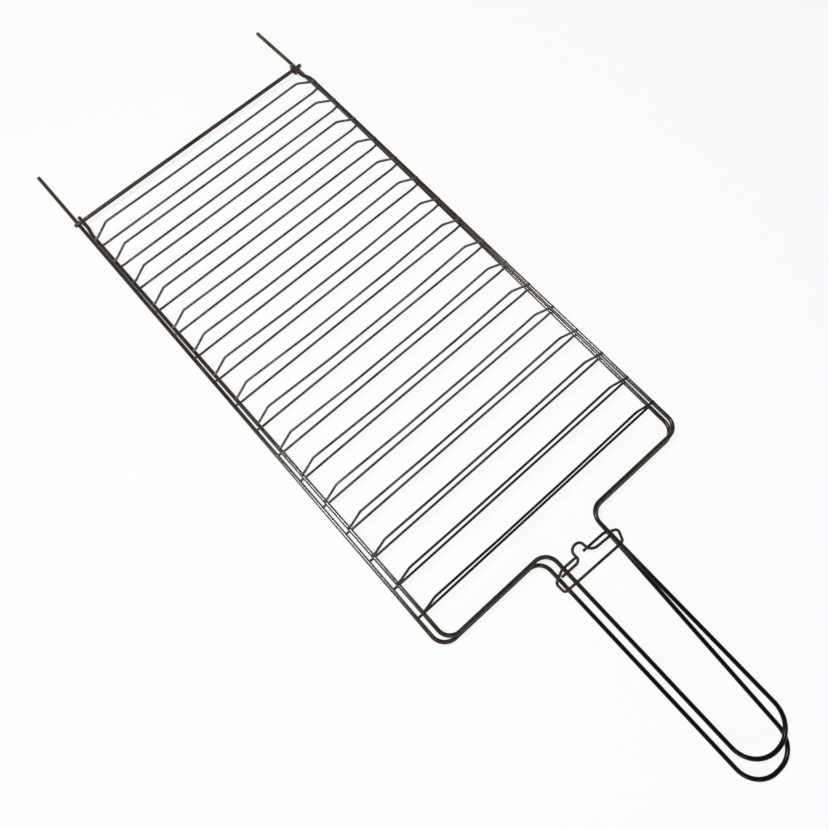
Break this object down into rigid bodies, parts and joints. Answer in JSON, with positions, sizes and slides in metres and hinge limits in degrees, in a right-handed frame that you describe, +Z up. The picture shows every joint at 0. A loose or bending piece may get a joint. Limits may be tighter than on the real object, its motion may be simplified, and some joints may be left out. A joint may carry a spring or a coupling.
{
  "type": "fish grill basket",
  "caption": "Hinged grill basket of welded steel wire: two grilles joined by a rod and eyes, long handle loops, and a sliding wire latch with a thumb loop.",
  "frame": {"origin": "on the floor plane, under the middle of the hinge rod", "axes": "+X from the hinge to the handle's end, +Y to the right rail, +Z up"},
  "size_m": [0.6774, 0.2271, 0.0204],
  "materials": {
    "frame_wire": "dull dark steel, rubbed bright along the top",
    "cross_wire": "dull steel, a little brighter than the frame",
    "latch_wire": "dull steel browned by rust"
  },
  "bodies": {
    "lower_half": {"lower_frame": "frame_wire", "hinge_rod": "frame_wire", "lower_wire_01": "cross_wire", "lower_wire_02": "cross_wire", "lower_wire_03": "cross_wire", "lower_wire_04": "cross_wire", "lower_wire_05": "cross_wire", "lower_wire_06": "cross_wire", "lower_wire_07": "cross_wire", "lower_wire_08": "cross_wire", "lower_wire_09": "cross_wire", "lower_wire_10": "cross_wire", "lower_wire_11": "cross_wire", "lower_wire_12": "cross_wire", "lower_wire_13": "cross_wire", "lower_wire_14": "cross_wire", "lower_wire_15": "cross_wire", "lower_wire_16": "cross_wire"},
    "upper_half": {"upper_frame": "frame_wire", "upper_wire_01": "cross_wire", "upper_wire_02": "cross_wire", "upper_wire_03": "cross_wire", "upper_wire_04": "cross_wire", "upper_wire_05": "cross_wire", "upper_wire_06": "cross_wire", "upper_wire_07": "cross_wire", "upper_wire_08": "cross_wire", "upper_wire_09": "cross_wire", "upper_wire_10": "cross_wire", "upper_wire_11": "cross_wire", "upper_wire_12": "cross_wire", "upper_wire_13": "cross_wire", "upper_wire_14": "cross_wire", "upper_wire_15": "cross_wire", "upper_wire_16": "cross_wire"},
    "latch": {"latch_clip": "latch_wire", "thumb_loop": "latch_wire"}
  },
  "joints": [
    {"name": "basket_hinge", "type": "hinge", "parent": "lower_half", "child": "upper_half", "pos_m": [0, 0, 0.00692], "axis": [0, -1, 0], "range_deg": [0, 167]},
    {"name": "latch_slide", "type": "slide", "parent": "lower_half", "child": "latch", "axis": [1, 0, 0], "range_m": [-0.01, 0.15]}
  ]
}
